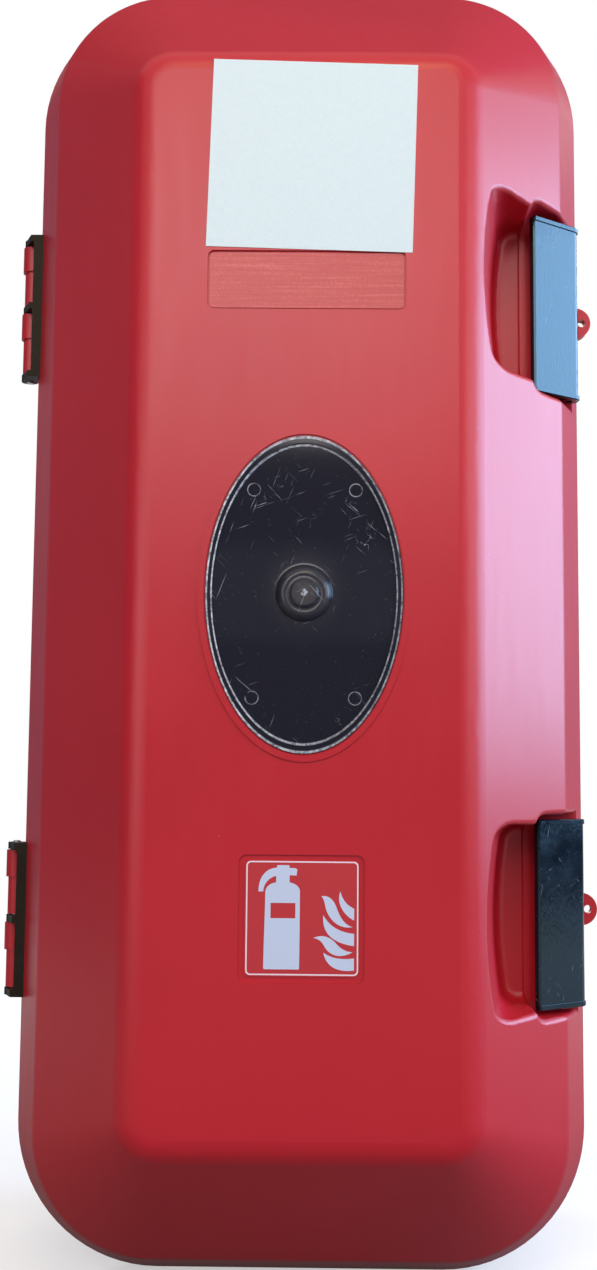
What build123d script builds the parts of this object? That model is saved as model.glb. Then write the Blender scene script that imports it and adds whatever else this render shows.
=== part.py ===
"""Wall cabinet for one 6 kg fire extinguisher, moulded in plastic, with a hinged lid.

The origin is the centre of the flat back face. X runs to the right as seen from the front,
Y runs back into the wall and Z runs up, so the lid faces -Y. All sizes are in millimetres.

The cabinet is a drafted tray with a flange, and a lid with a raised flat front and four
sloping sides. Two hinges join them on the left. Two lever latches sit in notches on the
right, each beside a finger pocket, and a pair of sealing eyes stands out behind each one.
"""

import os
from math import atan2, cos, degrees, radians, sin, tan

from build123d import *

# Overall form
width = 280.0
height = 650.0
corner_radius = 70.0
base_depth = 140.0
lid_depth = 90.0
wall = 3.0

# Parting line, from the middle of the tray's wall out to the edge of the flange
flange_width = 10.0
flange_thickness = 4.0
skirt_depth = 14.0
tongue_height = 4.0
tongue_thickness = 2.5
parting_gap = 0.8
seal_width = 3.6
seal_inset = 1.8
seal_groove_depth = 2.0
seal_clearance = 0.3

# Tray
tray_draft_angle = 2.5
back_edge_radius = 12.0
channel_spacing = 88.0
channel_width = 16.0
channel_from_end = 90.0
channel_depth = 4.0
fixing_spacing_x = 160.0
fixing_from_end = 85.0
fixing_hole_radius = 4.5
fixing_boss_radius = 14.0
fixing_boss_height = 5.0

# Bottle saddles on the tray's back wall
bottle_radius = 82.0
bottle_gap = 12.0
saddle_width = 150.0
saddle_thickness = 14.0
saddle_rise = 36.0
saddle_from_top = 150.0
saddle_from_bottom = 140.0

# Lid surfaces
ridge_depth = 30.0
ridge_inset = 13.0
front_inset_side = 63.0
front_inset_end = 76.5
front_corner_radius = 14.0
front_edge_radius = 16.0
ridge_edge_radius = 9.0
lid_rim_width = 5.5
lip_radius = 2.5

# Latches: notch, finger pocket, lever, bracket and pin
latch_from_end = 175.0
lever_height = 90.0
lever_length = 28.0
lever_thickness = 3.2
lever_tilt = 35.0
lever_barrel_radius = 4.5
lever_barrel_reach = 2.1
lever_end_gap = 2.5
lever_strip_width = 2.4
lever_strip_height = 0.6
lever_edge_radius = 0.8
lever_end_chamfer = 0.5
notch_floor_depth = 9.8
notch_side_gap = 2.0
notch_shelf_width = 4.2
notch_corner_radius = 5.0
barrel_floor_gap = 1.5
pocket_floor_depth = 20.0
pocket_floor_width = 15.5
pocket_side_draft = 10.5
pocket_end_draft = 2.0
pocket_bow = 4.0
pocket_corner_radius = 8.0
pocket_height = 84.0
pocket_floor_radius = 5.0
bracket_ear_thickness = 6.0
bracket_ear_spacing = 46.0
bracket_ear_radius = 3.1
bracket_foot_thickness = 2.5
bracket_foot_length = 13.0
bracket_foot_gap = 1.5
latch_pin_radius = 1.6
ear_slot_gap = 0.6
ear_skin_gap = 0.3
running_clearance = 0.05
fixed_clearance = 0.03

# Sealing eyes
eye_radius = 8.0
eye_reach = 7.0
eye_root = 1.2
eye_thickness = 2.5
eye_hole_radius = 2.0
eye_hole_reach = 2.4

# Hinges
hinge_from_end = 167.0
hinge_height = 76.0
hinge_axis_out = 6.0
hinge_axis_back = 8.0
knuckle_radius = 5.0
knuckle_share = 0.42
lug_radius = 3.9
fin_thickness = 3.4
fin_radius = 4.4
fin_gap = 0.5
leaf_gap = 0.4
leaf_thickness = 3.2
leaf_behind = 2.0
leaf_front = 3.4
hinge_pin_radius = 2.0
hinge_pin_end = 0.8
pin_chamfer = 0.4

# Oval window
window_height_offset = -3.5
lens_half_width = 44.2
lens_half_height = 71.6
lens_flange = 3.0
lens_thickness = 2.2
lens_rim_width = 3.2
lens_rim_height = 1.0
lens_seat_gap = 0.4
lens_boss_radius = 6.5
lens_boss_height = 3.0
lens_boss_edge = 0.8
lens_nub_radius = 1.9
lens_nub_height = 0.6
lens_collar_radius = 9.0
lens_collar_height = 1.8
lens_collar_groove = 1.2
lens_dome_radius = 13.0
lens_stud_radius = 2.9
lens_stud_height = 0.5
lens_stud_spacing_x = 46.0
lens_stud_spacing_z = 94.0
gasket_thickness = 0.6
bead_gap = 0.6
bead_width = 2.7
bead_height = 0.8
retainer_width = 8.0
retainer_thickness = 2.5

# Sign, name panel and stock label on the lid's front
sign_size = 50.0
sign_height_offset = -147.3
sign_recess_size = 55.5
sign_recess_depth = 1.0
sign_thickness = 0.6
sign_corner_radius = 2.6
panel_width = 91.0
panel_height = 28.0
panel_from_top = 183.8
panel_recess_depth = 1.2
panel_corner_radius = 3.0
panel_thickness = 0.5
panel_edge_gap = 1.0
label_width = 95.0
label_height = 90.0
label_centre_x = 2.2
label_from_top = 124.4
label_turn = -1.6
label_thickness = 0.3

# Sizes worked out from the ones above
latch_heights = {"upper": height / 2 - latch_from_end, "lower": latch_from_end - height / 2}
hinge_heights = {"upper": height / 2 - hinge_from_end, "lower": hinge_from_end - height / 2}
saddle_heights = {"upper": height / 2 - saddle_from_top, "lower": saddle_from_bottom - height / 2}
channel_length = height - 2 * channel_from_end
fixing_spacing_z = height - 2 * fixing_from_end
panel_z = height / 2 - panel_from_top
label_z = height / 2 - label_from_top
tray_inset = flange_width
tray_draft = base_depth * tan(radians(tray_draft_angle))
ridge_draft = ridge_inset / ridge_depth
side_angle = degrees(atan2(ridge_inset, ridge_depth))
slope_height = lid_depth - ridge_depth
slope_run_side = front_inset_side - ridge_inset
slope_run_end = front_inset_end - ridge_inset
hinge_axis_x = -width / 2 - hinge_axis_out
hinge_axis_y = -base_depth + hinge_axis_back
barrel_x = width / 2 - lever_barrel_reach - lever_barrel_radius
barrel_depth = notch_floor_depth + barrel_floor_gap + lever_barrel_radius
barrel_y = -(base_depth + barrel_depth)
lever_under = lever_barrel_radius - lever_thickness
lever_end_x = barrel_x + lever_under * sin(radians(lever_tilt)) - lever_length * cos(radians(lever_tilt))
notch_side = lever_end_x - notch_side_gap
opening_half_width = lens_half_width - lens_flange
opening_half_height = lens_half_height - lens_flange
lid_inside = lid_depth - wall
fin_spacing = (hinge_height - fin_thickness) / 2
near = 0.01


def level(depth):
    """The plane at a depth in front of the parting plane, looking at the lid's front."""
    return Plane.XZ.offset(base_depth + depth)


def behind(depth):
    """The plane at a distance in front of the back face."""
    return Plane.XZ.offset(depth)


def rounded(inset_side, inset_end, radius, mode=Mode.ADD):
    """The cabinet's outline, drawn in by an inset at the sides and at the ends."""
    RectangleRounded(width - 2 * inset_side, height - 2 * inset_end, radius, mode=mode)


def ring(outer_inset, inner_inset):
    """A closed band between two insets of the cabinet's outline."""
    rounded(outer_inset, outer_inset, corner_radius - outer_inset)
    rounded(inner_inset, inner_inset, corner_radius - inner_inset, mode=Mode.SUBTRACT)


def prism(profile, length, mode=Mode.ADD):
    """Extrude a finished sketch in the part that is being made."""
    extrude(profile.sketch, amount=length, mode=mode)


def write(part, name):
    part.label = name
    export_step(part, f"parts/{name}.step")


# Tray

def make_tray_hollow():
    """The space inside the tray, carried on through the tongue in front of it."""
    inset = tray_inset + tray_draft * (1 - wall / base_depth) + wall
    with BuildPart() as tray_hollow:
        with BuildSketch(behind(wall)):
            rounded(inset, inset, corner_radius - inset)
        extrude(amount=base_depth - wall + tongue_height, taper=-tray_draft_angle)
        fillet(tray_hollow.faces().sort_by(Axis.Y)[-1].edges(), back_edge_radius - wall)
    return tray_hollow.part


def make_base_shell():
    tray_hollow = make_tray_hollow()
    tongue_inset = tray_inset + wall - tongue_thickness
    with BuildPart() as base_shell:
        back_inset = tray_inset + tray_draft
        with BuildSketch(behind(0)):
            rounded(back_inset, back_inset, corner_radius - back_inset)
        extrude(amount=base_depth, taper=-tray_draft_angle)
        fillet(base_shell.faces().sort_by(Axis.Y)[-1].edges(), back_edge_radius)

        # Flange with its turned-back skirt, and the tongue that stands inside the lid
        with BuildSketch(behind(base_depth - flange_thickness)):
            rounded(0, 0, corner_radius)
        extrude(amount=flange_thickness)
        with BuildSketch(behind(base_depth - skirt_depth)):
            ring(0, wall)
        extrude(amount=skirt_depth)
        with BuildSketch(behind(base_depth)):
            rounded(tongue_inset, tongue_inset, corner_radius - tongue_inset)
        extrude(amount=tongue_height)

        add(tray_hollow, mode=Mode.SUBTRACT)

        # Groove for the seal
        with BuildSketch(behind(base_depth - seal_groove_depth)):
            ring(seal_inset, seal_inset + seal_width)
        extrude(amount=seal_groove_depth, mode=Mode.SUBTRACT)

        # Stiffening channels, pressed in from the back and standing proud inside
        rib = channel_width + 2 * wall
        with BuildSketch(behind(0)):
            with GridLocations(channel_spacing, 0, 2, 1):
                SlotOverall(channel_length + 2 * wall, rib, rotation=90)
        extrude(amount=channel_depth + wall)
        with BuildSketch(behind(0)):
            with GridLocations(channel_spacing, 0, 2, 1):
                SlotOverall(channel_length, channel_width, rotation=90)
        extrude(amount=channel_depth, mode=Mode.SUBTRACT)

        # Fixing bosses and the holes through them
        with BuildSketch(behind(0)):
            with GridLocations(fixing_spacing_x, fixing_spacing_z, 2, 2):
                Circle(fixing_boss_radius)
        extrude(amount=wall + fixing_boss_height)
        with BuildSketch(behind(0)):
            with GridLocations(fixing_spacing_x, fixing_spacing_z, 2, 2):
                Circle(fixing_hole_radius)
        extrude(amount=wall + fixing_boss_height, mode=Mode.SUBTRACT)

        # Two hinge lugs for each hinge, between the fins of its leaf
        for middle in hinge_heights.values():
            for low, high in lug_spans(middle):
                step = high - knuckle_share * (high - low)
                with BuildSketch(Plane.XY.offset(low)):
                    lug_outline(lug_radius)
                extrude(amount=step - low)
                with BuildSketch(Plane.XY.offset(step)):
                    lug_outline(knuckle_radius)
                extrude(amount=high - step)

        # Sealing eyes behind the parting plane
        for middle in latch_heights.values():
            with BuildSketch(behind(base_depth - eye_thickness)):
                eye_outline(middle)
            extrude(amount=eye_thickness)
            with BuildSketch(behind(base_depth - eye_thickness)):
                eye_hole(middle)
            extrude(amount=eye_thickness, mode=Mode.SUBTRACT)
    return base_shell.part


def make_rim_seal():
    seal_height = seal_groove_depth + parting_gap - seal_clearance
    with BuildPart() as rim_seal:
        with BuildSketch(behind(base_depth - seal_groove_depth)):
            ring(seal_inset, seal_inset + seal_width)
        extrude(amount=seal_height)
    return rim_seal.part


def lug_spans(middle):
    """The lowest and highest Z of the two lugs that stand between a leaf's three fins."""
    half_gap = fin_thickness / 2 + fin_gap
    return [
        (middle + half_gap, middle + fin_spacing - half_gap),
        (middle - fin_spacing + half_gap, middle - half_gap),
    ]


def lug_outline(radius):
    """A lug from the skirt out to the hinge pin, bored for the pin."""
    root_x = -width / 2 + wall / 2
    with Locations((hinge_axis_x, hinge_axis_y)):
        Circle(radius)
    Polygon(
        (hinge_axis_x, hinge_axis_y - radius),
        (root_x, hinge_axis_y - lug_radius),
        (root_x, hinge_axis_y + knuckle_radius),
        (hinge_axis_x, hinge_axis_y + radius),
        align=None,
    )
    with Locations((hinge_axis_x, hinge_axis_y)):
        Circle(hinge_pin_radius + fixed_clearance, mode=Mode.SUBTRACT)


def eye_outline(middle):
    """A half-round tab standing out of the rim at a height."""
    root = width / 2 - eye_root
    with Locations((width / 2 + eye_reach - eye_radius, middle)):
        Circle(eye_radius)
    with Locations((root - eye_radius, middle)):
        Rectangle(2 * eye_radius, 2 * eye_radius, mode=Mode.SUBTRACT)


def eye_hole(middle):
    with Locations((width / 2 + eye_hole_reach, middle)):
        Circle(eye_hole_radius)


def make_pin(x, y, radius, low, high):
    with BuildPart() as pin:
        with BuildSketch(Plane.XY.offset(low)):
            with Locations((x, y)):
                Circle(radius)
        extrude(amount=high - low)
        chamfer(pin.edges().filter_by(GeomType.CIRCLE), pin_chamfer)
    return pin.part


def make_hinge_pin(middle):
    half = hinge_height / 2 + hinge_pin_end
    return make_pin(hinge_axis_x, hinge_axis_y, hinge_pin_radius, middle - half, middle + half)


def make_bottle_saddle(middle):
    """A cradle for the bottle, standing on the back wall between its channels and the lid."""
    foot = wall + channel_depth
    centre_y = -(foot + bottle_gap + bottle_radius)
    with BuildPart() as bottle_saddle:
        with BuildSketch(Plane.XY.offset(middle - saddle_thickness / 2)):
            with Locations((0, -(foot + saddle_rise / 2))):
                RectangleRounded(saddle_width, saddle_rise, 5)
            with Locations((0, centre_y)):
                Circle(bottle_radius + 1, mode=Mode.SUBTRACT)
        extrude(amount=saddle_thickness)
    return bottle_saddle.part


# Lid

def make_lid_form():
    """The lid's outer form, filled."""
    rim_inset = parting_gap * ridge_draft
    with BuildPart() as lid_form:
        with BuildSketch(level(parting_gap)):
            rounded(rim_inset, rim_inset, corner_radius - rim_inset)
        extrude(amount=ridge_depth - parting_gap, taper=side_angle)
        with BuildSketch(level(ridge_depth)):
            rounded(ridge_inset, ridge_inset, corner_radius - ridge_inset)
        with BuildSketch(level(lid_depth)):
            rounded(front_inset_side, front_inset_end, front_corner_radius)
        loft(ruled=True)
        fillet(lid_form.faces().sort_by(Axis.Y)[0].edges(), front_edge_radius)
        ridge_y = -(base_depth + ridge_depth)
        ridge_edges = lid_form.edges().filter_by_position(Axis.Y, ridge_y - 0.01, ridge_y + 0.01)
        fillet(ridge_edges, ridge_edge_radius)
    return lid_form.part


def make_lid_hollow():
    """The space inside the lid, before the pockets and notches take their walls out of it."""
    side_wall = wall / cos(radians(side_angle))
    slope_wall_side = wall / sin(atan2(slope_height, slope_run_side))
    slope_wall_end = wall / sin(atan2(slope_height, slope_run_end))
    inside_share = (lid_inside - ridge_depth) / slope_height
    rim_depth = parting_gap + wall
    rim_inset = rim_depth * ridge_draft + side_wall
    ridge_hollow = ridge_inset + side_wall
    with BuildPart() as lid_hollow:
        with BuildSketch(level(rim_depth)):
            rounded(rim_inset, rim_inset, corner_radius - rim_inset)
        extrude(amount=ridge_depth - rim_depth, taper=side_angle)
        with BuildSketch(level(ridge_depth)):
            rounded(ridge_hollow, ridge_hollow, corner_radius - ridge_hollow)
        with BuildSketch(level(lid_inside)):
            rounded(
                ridge_inset + inside_share * slope_run_side + slope_wall_side,
                ridge_inset + inside_share * slope_run_end + slope_wall_end,
                front_corner_radius - wall,
            )
        loft(ruled=True)
    return lid_hollow.part


def make_pocket(middle, skin):
    """The finger pocket as a solid, grown by a skin so that the lid keeps a wall round it."""
    floor = pocket_floor_depth - skin
    top = lid_depth + wall
    with BuildPart() as pocket:
        for depth in (floor, top):
            rise = depth - floor
            inner = notch_side - pocket_floor_width - skin - rise * tan(radians(pocket_side_draft))
            half = pocket_height / 2 + skin + rise * tan(radians(pocket_end_draft))
            outer = notch_side + 2 * pocket_corner_radius
            with BuildSketch(level(depth)) as outline:
                with BuildLine():
                    bowed = inner + pocket_bow
                    side = ThreePointArc((bowed, middle - half), (inner, middle), (bowed, middle + half))
                    Polyline(side @ 1, (outer, middle + half), (outer, middle - half), side @ 0)
                make_face()
                fillet(outline.vertices(), pocket_corner_radius)
        loft(ruled=True)
        fillet(pocket.faces().sort_by(Axis.Y)[-1].edges(), pocket_floor_radius + skin)
    return pocket.part


def make_notch(middle, skin):
    """The latch's notch as a solid, open to the lid's side, grown by a skin."""
    floor = notch_floor_depth - skin
    top = lid_depth + wall
    inner = notch_side - skin
    outer = width / 2 + wall
    half = lever_height / 2 + lever_end_gap + skin
    with BuildPart() as notch:
        with BuildSketch(level(floor)):
            with Locations(((inner + outer) / 2, middle)):
                Rectangle(outer - inner, 2 * half)
        extrude(amount=top - floor)
        fillet(notch.edges().filter_by(Axis.Y).group_by(Axis.X)[0], notch_corner_radius)
    return notch.part


def make_notch_shelf(middle):
    """A shelf that carries the pocket's floor on behind the lever's inner edge."""
    low = notch_floor_depth - wall / 2
    inner = notch_side - wall / 2
    outer = notch_side + notch_shelf_width
    half = lever_height / 2 + lever_end_gap + wall / 2
    with BuildPart() as shelf:
        with BuildSketch(level(low)):
            with Locations(((inner + outer) / 2, middle)):
                Rectangle(outer - inner, 2 * half)
        extrude(amount=pocket_floor_depth - low)
    return shelf.part


def is_lip(edge, surface, walls):
    """Whether an edge in front of the notch's floor lies on the lid's surface and on a cutter's wall."""
    middle = edge @ 0.5
    point = Vertex(*middle)
    in_front = middle.Y < -(base_depth + notch_floor_depth + near)
    return in_front and surface.distance_to(point) < near and min(w.distance_to(point) for w in walls) < near


def cut_with_lips(body, surface, cutters):
    """The body with cutters taken out of it and the lips that they leave in the surface rounded."""
    walls = [cutter.shell() for cutter in cutters]
    with BuildPart() as cut_body:
        add(body)
        for cutter in cutters:
            add(cutter, mode=Mode.SUBTRACT)
        fillet([edge for edge in cut_body.edges() if is_lip(edge, surface, walls)], lip_radius)
    return cut_body.part


def oval(half_width, half_height, start, end, mode=Mode.ADD):
    """An oval plug about the window's centre, between two depths of the lid."""
    with BuildSketch(level(start)) as outline:
        with Locations((0, window_height_offset)):
            Ellipse(half_width, half_height)
    prism(outline, end - start, mode)


def make_walled_hollow():
    """The lid's hollow, less the walls that the pockets and the notches keep round them."""
    lid_hollow = make_lid_hollow()
    pockets = [make_pocket(middle, wall) for middle in latch_heights.values()]
    notches = [make_notch(middle, wall) for middle in latch_heights.values()]
    with BuildPart() as walled_hollow:
        add(lid_hollow)
        for solid in pockets + notches:
            add(solid, mode=Mode.SUBTRACT)
    return walled_hollow.part


def make_lid_shell():
    lid_form = make_lid_form()
    walled_hollow = make_walled_hollow()
    surface = lid_form.shell()
    pockets = [make_pocket(middle, 0) for middle in latch_heights.values()]
    notches = [make_notch(middle, 0) for middle in latch_heights.values()]
    lid_with_pockets = cut_with_lips(lid_form, surface, pockets)
    lid_with_notches = cut_with_lips(lid_with_pockets, surface, notches)
    bead_inner = lens_seat_gap + bead_gap
    bead_outer = bead_inner + bead_width
    seat_depth = lid_depth - lens_thickness - gasket_thickness
    seat_half_width = lens_half_width + lens_seat_gap
    seat_half_height = lens_half_height + lens_seat_gap
    with BuildPart() as lid_shell:
        add(lid_with_notches)
        for middle in latch_heights.values():
            add(make_notch_shelf(middle))

        # Raised bead round the window
        bead_top = lid_depth + bead_height
        oval(lens_half_width + bead_outer, lens_half_height + bead_outer, lid_inside, bead_top)
        oval(lens_half_width + bead_inner, lens_half_height + bead_inner, lid_depth, bead_top, Mode.SUBTRACT)

        # Sign recess and name panel recess
        with BuildSketch(level(lid_depth - sign_recess_depth)):
            with Locations((0, sign_height_offset)):
                RectangleRounded(sign_recess_size, sign_recess_size, sign_corner_radius + sign_recess_depth)
        extrude(amount=sign_recess_depth, mode=Mode.SUBTRACT)
        with BuildSketch(level(lid_depth - panel_recess_depth)):
            with Locations((0, panel_z)):
                RectangleRounded(panel_width, panel_height, panel_corner_radius)
        extrude(amount=panel_recess_depth, mode=Mode.SUBTRACT)

        # Hollow behind the surfaces, and the narrower mouth inside the rim that meets the seal
        add(walled_hollow, mode=Mode.SUBTRACT)
        with BuildSketch(level(0)):
            rounded(lid_rim_width, lid_rim_width, corner_radius - lid_rim_width)
        extrude(amount=parting_gap + wall, mode=Mode.SUBTRACT)

        # Window opening, and the seat for the lens and its gasket
        oval(opening_half_width, opening_half_height, lid_inside - wall, lid_depth, Mode.SUBTRACT)
        oval(seat_half_width, seat_half_height, seat_depth, lid_depth, Mode.SUBTRACT)

        # Sealing eyes in front of the parting plane
        for middle in latch_heights.values():
            with BuildSketch(level(parting_gap)):
                eye_outline(middle)
            extrude(amount=eye_thickness)
            with BuildSketch(level(parting_gap)):
                eye_hole(middle)
            extrude(amount=eye_thickness, mode=Mode.SUBTRACT)
    return lid_shell.part


# Window

def make_window_lens():
    back = lid_depth - lens_thickness
    rim_top = lid_depth + lens_rim_height
    front_y = -(base_depth + lid_depth)
    field_half_width = lens_half_width - lens_rim_width
    field_half_height = lens_half_height - lens_rim_width
    with BuildPart() as window_lens:
        oval(lens_half_width, lens_half_height, back, rim_top)
        oval(field_half_width, field_half_height, lid_depth, rim_top, Mode.SUBTRACT)

        # Moulded boss with a nub at the middle, inside a collar that runs out into the lens
        centre = window_height_offset
        boss_y = front_y - lens_boss_height
        groove_y = front_y - lens_collar_groove
        with BuildSketch(Plane.YZ):
            with BuildLine():
                boss = Polyline(
                    (front_y + lens_thickness / 2, centre),
                    (boss_y - lens_nub_height, centre),
                    (boss_y - lens_nub_height, centre + lens_nub_radius),
                    (boss_y, centre + lens_nub_radius),
                    (boss_y, centre + lens_boss_radius - lens_boss_edge),
                    (boss_y + lens_boss_edge, centre + lens_boss_radius),
                    (groove_y, centre + lens_boss_radius),
                    (groove_y, centre + (lens_boss_radius + lens_collar_radius) / 2),
                )
                collar = Spline(
                    boss @ 1,
                    (front_y - lens_collar_height, centre + lens_collar_radius),
                    (front_y, centre + lens_dome_radius),
                )
                Polyline(collar @ 1, (front_y + lens_thickness / 2, centre + lens_dome_radius), boss @ 0)
            make_face()
        revolve(axis=Axis((0, 0, centre), (0, 1, 0)))

        # Four round studs on the back of the lens
        with BuildSketch(level(back - lens_stud_height)):
            with Locations((0, window_height_offset)):
                with GridLocations(lens_stud_spacing_x, lens_stud_spacing_z, 2, 2):
                    Circle(lens_stud_radius)
        extrude(amount=lens_stud_height)
    return window_lens.part


def make_window_gasket():
    back = lid_depth - lens_thickness - gasket_thickness
    front = back + gasket_thickness
    with BuildPart() as window_gasket:
        oval(lens_half_width, lens_half_height, back, front)
        oval(opening_half_width, opening_half_height, back, front, Mode.SUBTRACT)
    return window_gasket.part


def make_window_retainer():
    """A frame behind the lid's front that closes the window opening's edge from the inside."""
    back = lid_inside - retainer_thickness
    with BuildPart() as window_retainer:
        oval(opening_half_width + retainer_width, opening_half_height + retainer_width, back, lid_inside)
        oval(opening_half_width, opening_half_height, back, lid_inside, Mode.SUBTRACT)
    return window_retainer.part


# Sign, name panel and label

def make_sign_plate():
    floor = lid_depth - sign_recess_depth
    with BuildPart() as sign_plate:
        with BuildSketch(level(floor)):
            with Locations((0, sign_height_offset)):
                RectangleRounded(sign_size, sign_size, sign_corner_radius)
        extrude(amount=sign_thickness)
    return sign_plate.part


def make_name_panel():
    floor = lid_depth - panel_recess_depth
    with BuildPart() as name_panel:
        with BuildSketch(level(floor)):
            with Locations((0, panel_z)):
                RectangleRounded(
                    panel_width - 2 * panel_edge_gap,
                    panel_height - 2 * panel_edge_gap,
                    panel_corner_radius - panel_edge_gap,
                )
        extrude(amount=panel_thickness)
    return name_panel.part


def make_paper_label():
    with BuildPart() as paper_label:
        with BuildSketch(level(lid_depth)):
            with Locations(Location((label_centre_x, label_z), label_turn)):
                Rectangle(label_width, label_height)
        extrude(amount=label_thickness)
    return paper_label.part


# Hinges

def make_hinge_leaf(middle):
    """A leaf along the lid's rim with three fins that reach back to the hinge pin."""
    rim_x = -width / 2
    inner_x = rim_x - leaf_gap
    outer_x = inner_x - leaf_thickness
    front_y = -(base_depth + leaf_front)
    back_y = -(base_depth - leaf_behind)
    with BuildPart() as hinge_leaf:
        with BuildSketch(Plane.XY.offset(middle - hinge_height / 2)):
            Polygon((outer_x, back_y), (inner_x, back_y), (inner_x, front_y), (outer_x, front_y), align=None)
            # Foot that closes the gap to the lid's drafted side wall
            Polygon(
                (inner_x, front_y),
                (rim_x + leaf_front * ridge_draft, front_y),
                (rim_x + parting_gap * ridge_draft, -(base_depth + parting_gap)),
                (inner_x, -(base_depth + parting_gap)),
                align=None,
            )
        extrude(amount=hinge_height)
        for step in (-1, 0, 1):
            low = middle + step * fin_spacing - fin_thickness / 2
            with BuildSketch(Plane.XY.offset(low)):
                with Locations((hinge_axis_x, hinge_axis_y)):
                    Circle(fin_radius)
                Polygon(
                    (hinge_axis_x - fin_radius, hinge_axis_y),
                    (outer_x - leaf_thickness / 2, front_y),
                    (inner_x, front_y),
                    (inner_x, hinge_axis_y),
                    align=None,
                )
                with Locations((hinge_axis_x, hinge_axis_y)):
                    Circle(hinge_pin_radius + running_clearance, mode=Mode.SUBTRACT)
            extrude(amount=fin_thickness)
    return hinge_leaf.part


# Latches

def lever_point(along, above):
    """A point of the lever's section: a length along the plate and a height above its pin's centre."""
    tilt = radians(lever_tilt)
    x = barrel_x - along * cos(tilt) + above * sin(tilt)
    depth = barrel_depth + along * sin(tilt) + above * cos(tilt)
    return x, -(base_depth + depth)


def lever_section(radius):
    """The lever's section: a barrel of a radius round the pin, with the plate standing off it."""
    with Locations((barrel_x, barrel_y)):
        Circle(radius)
    Polygon(
        lever_point(0, radius),
        lever_point(lever_length - lever_edge_radius, radius),
        lever_point(lever_length, radius - lever_edge_radius),
        lever_point(lever_length, lever_under),
        lever_point(0, lever_under),
        align=None,
    )


def ear_slot_outline():
    """The room that a bracket's ear needs in the barrel, which leaves the barrel's front closed."""
    reach = lever_barrel_radius + lever_strip_height + ear_skin_gap
    with Locations((barrel_x, barrel_y)):
        Circle(bracket_ear_radius + ear_skin_gap)
    with Locations((barrel_x, barrel_y - ear_skin_gap + reach)):
        Rectangle(2 * reach, 2 * reach)


def make_latch_lever(middle):
    low = middle - lever_height / 2
    ear_slot = bracket_ear_thickness + 2 * ear_slot_gap
    with BuildPart() as latch_lever:
        with BuildSketch(Plane.XY.offset(low)):
            lever_section(lever_barrel_radius)
        extrude(amount=lever_height)
        # Raised strips across both ends
        for start in (low, low + lever_height - lever_strip_width):
            with BuildSketch(Plane.XY.offset(start)):
                lever_section(lever_barrel_radius + lever_strip_height)
            extrude(amount=lever_strip_width)
        for end in (latch_lever.faces().sort_by(Axis.Z)[0], latch_lever.faces().sort_by(Axis.Z)[-1]):
            chamfer(end.edges(), lever_end_chamfer)
        # Slots for the bracket's ears, and the bore for the pin
        for side in (-1, 1):
            slot_low = middle + side * bracket_ear_spacing / 2 - ear_slot / 2
            with BuildSketch(Plane.XY.offset(slot_low)):
                ear_slot_outline()
            extrude(amount=ear_slot, mode=Mode.SUBTRACT)
        with BuildSketch(Plane.XY.offset(low)):
            with Locations((barrel_x, barrel_y)):
                Circle(latch_pin_radius + running_clearance)
        extrude(amount=lever_height, mode=Mode.SUBTRACT)
    return latch_lever.part


def make_latch_bracket(middle):
    """Two ears for the latch pin on one foot, which stands on the notch's floor."""
    floor_y = -(base_depth + notch_floor_depth)
    foot_right = barrel_x - lever_barrel_radius - bracket_foot_gap
    foot_x = foot_right - bracket_foot_length
    gusset_x = foot_right - bracket_foot_length / 2
    span = bracket_ear_spacing + bracket_ear_thickness
    with BuildPart() as latch_bracket:
        with BuildSketch(Plane.XY.offset(middle - span / 2)):
            with Locations(((foot_x + foot_right) / 2, floor_y - bracket_foot_thickness / 2)):
                Rectangle(bracket_foot_length, bracket_foot_thickness)
        extrude(amount=span)
        for side in (-1, 1):
            low = middle + side * bracket_ear_spacing / 2 - bracket_ear_thickness / 2
            with BuildSketch(Plane.XY.offset(low)):
                with Locations((barrel_x, barrel_y)):
                    Circle(bracket_ear_radius)
                Polygon(
                    (gusset_x, floor_y),
                    (barrel_x, floor_y),
                    (barrel_x, barrel_y),
                    (barrel_x - bracket_ear_radius, barrel_y),
                    (gusset_x, floor_y - bracket_foot_thickness),
                    align=None,
                )
                with Locations((barrel_x, barrel_y)):
                    Circle(latch_pin_radius + fixed_clearance, mode=Mode.SUBTRACT)
            extrude(amount=bracket_ear_thickness)
    return latch_bracket.part


def make_latch_pin(middle):
    half = lever_height / 2 - lever_strip_width
    return make_pin(barrel_x, barrel_y, latch_pin_radius, middle - half, middle + half)


os.makedirs("parts", exist_ok=True)
write(make_base_shell(), "base_shell")
write(make_rim_seal(), "rim_seal")
write(make_lid_shell(), "lid_shell")
write(make_window_lens(), "window_lens")
write(make_window_gasket(), "window_gasket")
write(make_window_retainer(), "window_retainer")
write(make_sign_plate(), "sign_plate")
write(make_name_panel(), "name_panel")
write(make_paper_label(), "paper_label")
for place, middle in saddle_heights.items():
    write(make_bottle_saddle(middle), f"bottle_saddle_{place}")
for place, middle in hinge_heights.items():
    write(make_hinge_leaf(middle), f"hinge_leaf_{place}")
    write(make_hinge_pin(middle), f"hinge_pin_{place}")
for place, middle in latch_heights.items():
    write(make_latch_lever(middle), f"latch_lever_{place}")
    write(make_latch_bracket(middle), f"latch_bracket_{place}")
    write(make_latch_pin(middle), f"latch_pin_{place}")
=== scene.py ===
"""Looks, light and camera for the fire extinguisher cabinet. Metres, in the CAD's frame."""

from math import cos, pi, radians, sin

import bmesh
import bpy
from mathutils import Euler, Matrix, Vector


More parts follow.
